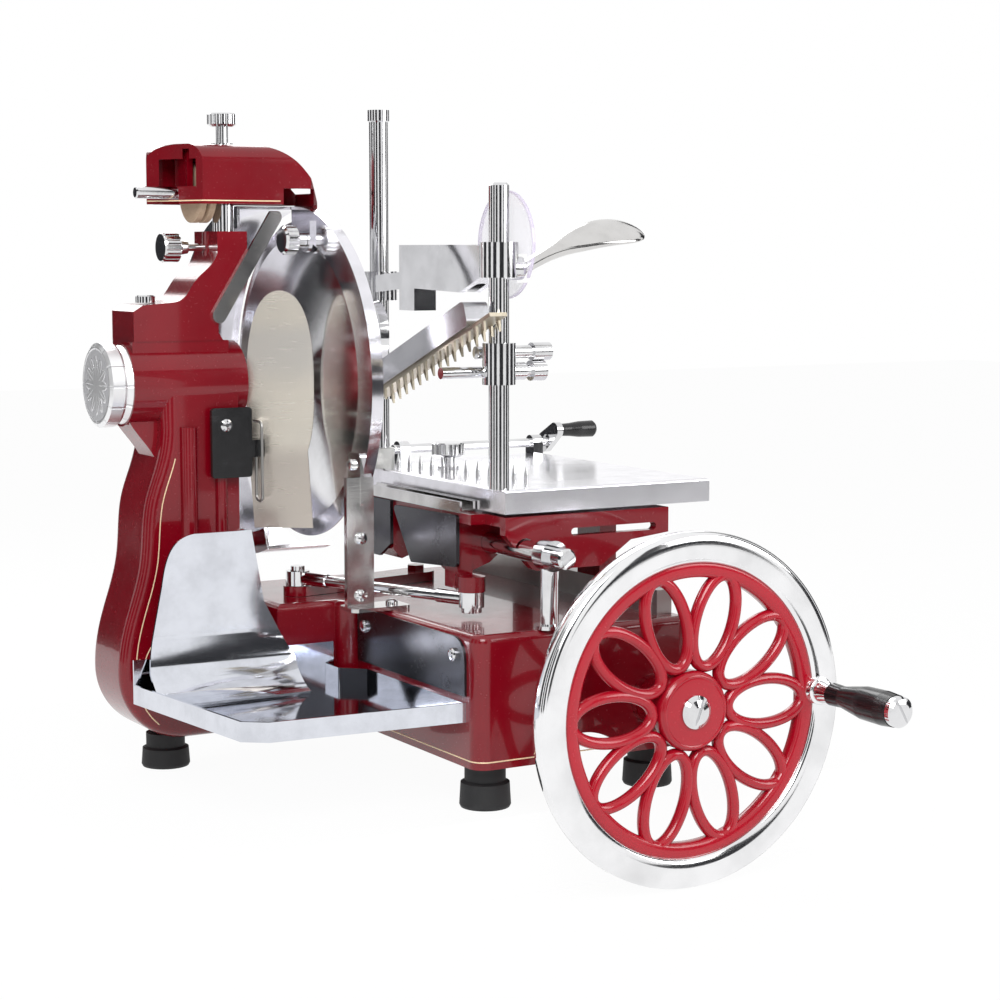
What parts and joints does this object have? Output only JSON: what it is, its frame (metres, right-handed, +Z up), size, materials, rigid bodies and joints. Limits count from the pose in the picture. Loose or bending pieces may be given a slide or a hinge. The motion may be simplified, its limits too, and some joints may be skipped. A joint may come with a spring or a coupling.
{
  "type": "hand crank meat slicer",
  "caption": "Hand cranked flywheel meat slicer with round knife, guards, sharpener, sliding carriage with spiked table, post-guided meat press and slice tray.",
  "frame": {"origin": "on the counter top, in the middle of the four feet", "axes": "+X to the operator's right, +Y away from the operator, +Z up"},
  "size_m": [0.488, 0.586, 0.604],
  "materials": {
    "red_enamel": "glossy deep red enamel",
    "bright_red_enamel": "glossy red enamel on the wheel",
    "chrome": "bright plated",
    "polished_steel": "polished",
    "brushed_steel": "fine brushed",
    "knife_steel": "ground and polished",
    "polished_aluminium": "polished",
    "shaft_steel": "oiled machined steel",
    "bronze": "plain bronze",
    "black_rubber": "matte",
    "black_plastic": "glossy black",
    "white_plastic": "white",
    "tan_stone": "tan abrasive, stated as matte plastic",
    "clear_sheet": "clear guard sheet"
  },
  "bodies": {
    "frame": {"base_casting": "red_enamel", "feet": "black_rubber", "column_casting": "red_enamel", "shaft_bushes": "bronze", "knife_chain": "shaft_steel", "spindle_cap": "chrome", "guard_ring": "polished_aluminium", "guard_hood": "polished_aluminium", "guard_bracket": "polished_steel", "body_screws": "chrome", "guard_stay": "polished_steel", "slice_plate": "polished_aluminium", "rest_plate": "black_plastic", "wire_clip": "shaft_steel", "sharpener_bracket": "red_enamel", "slice_tray": "brushed_steel", "slice_deflector": "brushed_steel", "flank_plate": "brushed_steel", "guide_bar": "chrome", "bar_posts": "chrome", "carriage_rail": "shaft_steel"},
    "wheel": {"flywheel": "bright_red_enamel", "drive_shaft": "shaft_steel", "wheel_screw": "chrome", "handle_stud": "chrome"},
    "wheel_grip": {"handle_grip": "black_plastic"},
    "cross_shaft_body": {"cross_shaft": "shaft_steel"},
    "knife_body": {"knife": "knife_steel", "knife_spindle": "shaft_steel", "knife_nut": "chrome"},
    "rocker": {"rocker_arm": "red_enamel"},
    "carriage": {"carriage_casting": "red_enamel", "carriage_plates": "brushed_steel", "carriage_channel": "brushed_steel", "rod_pin": "chrome"},
    "rod": {"connecting_rod": "chrome"},
    "table": {"meat_table": "polished_aluminium", "table_spikes": "chrome", "press_posts": "chrome", "rear_post_bush": "white_plastic", "feed_bearings": "chrome"},
    "table_knob_body": {"table_knob": "chrome"},
    "feed": {"feed_screw": "chrome"},
    "feed_grip": {"feed_handle": "black_plastic"},
    "press": {"press_yoke": "chrome", "press_lock": "chrome", "press_arm": "brushed_steel", "press_teeth": "bronze", "press_stop_bars": "chrome", "press_handle": "polished_aluminium", "hand_guard_disc": "clear_sheet"},
    "sharpener": {"sharpener_post": "chrome", "sharpener_cover": "red_enamel"},
    "cover_knob_body": {"cover_knob": "chrome"},
    "stones": {"stone_rod": "chrome", "sharpening_stones": "tan_stone"},
    "clamp_knob_body": {"clamp_knob": "chrome"},
    "guard_knob_body": {"guard_knob": "chrome"}
  },
  "joints": [
    {"name": "wheel_spin", "type": "hinge", "parent": "frame", "child": "wheel", "pos_m": [0.139, -0.2, 0.075], "axis": [0, 1, 0], "continuous": true},
    {"name": "wheel_grip_spin", "type": "hinge", "parent": "wheel", "child": "wheel_grip", "pos_m": [0.257, -0.27, 0.08], "axis": [0, 1, 0], "continuous": true},
    {"name": "cross_shaft_spin", "type": "hinge", "parent": "frame", "child": "cross_shaft_body", "pos_m": [0, 0.125, 0.075], "axis": [1, 0, 0], "continuous": true},
    {"name": "knife_spin", "type": "hinge", "parent": "frame", "child": "knife_body", "pos_m": [-0.04, 0.125, 0.317], "axis": [1, 0, 0], "continuous": true},
    {"name": "carriage_slide", "type": "slide", "parent": "frame", "child": "carriage", "axis": [0, 1, 0], "range_m": [-0.028, 0.075]},
    {"name": "rocker_swing", "type": "hinge", "parent": "frame", "child": "rocker", "pos_m": [0.08, 0.125, 0.142], "axis": [0, 0, 1], "range_deg": [-36, 14]},
    {"name": "rod_swing", "type": "hinge", "parent": "carriage", "child": "rod", "pos_m": [0.021, -0.078, 0.152], "axis": [0, 0, 1], "range_deg": [-2.5, 0]},
    {"name": "table_feed", "type": "slide", "parent": "carriage", "child": "table", "axis": [1, 0, 0], "range_m": [0, 0.04]},
    {"name": "table_knob_turn", "type": "hinge", "parent": "table", "child": "table_knob_body", "pos_m": [0.08, 0.066, 0.25], "axis": [0, 0, 1], "continuous": true},
    {"name": "feed_turn", "type": "hinge", "parent": "table", "child": "feed", "pos_m": [0.15, 0.148, 0.251], "axis": [1, 0, 0], "continuous": true},
    {"name": "feed_grip_spin", "type": "hinge", "parent": "feed", "child": "feed_grip", "pos_m": [0.245, 0.129, 0.263], "axis": [1, 0, 0], "continuous": true},
    {"name": "press_slide", "type": "slide", "parent": "table", "child": "press", "axis": [0, 0, 1], "range_m": [-0.04, 0.04]},
    {"name": "sharpener_lift", "type": "slide", "parent": "frame", "child": "sharpener", "axis": [0, 0, 1], "range_m": [0, 0.025]},
    {"name": "cover_knob_turn", "type": "hinge", "parent": "sharpener", "child": "cover_knob_body", "pos_m": [-0.097, 0.127, 0.52], "axis": [0, 0, 1], "continuous": true},
    {"name": "stone_push", "type": "slide", "parent": "sharpener", "child": "stones", "axis": [1, 0, 0], "range_m": [0, 0.004]},
    {"name": "clamp_knob_turn", "type": "hinge", "parent": "frame", "child": "clamp_knob_body", "pos_m": [-0.13, 0.127, 0.427], "axis": [1, 0, 0], "continuous": true},
    {"name": "guard_knob_turn", "type": "hinge", "parent": "frame", "child": "guard_knob_body", "pos_m": [-0.05, 0.096, 0.433], "axis": [1, 0, 0], "continuous": true}
  ],
  "couplings": [
    {"joint": "cross_shaft_spin", "follows": "wheel_spin", "ratio": -1},
    {"joint": "knife_spin", "follows": "wheel_spin", "ratio": -2},
    {"joint": "rocker_swing", "follows": "carriage_slide", "rad_per_m": -7.9}
  ]
}
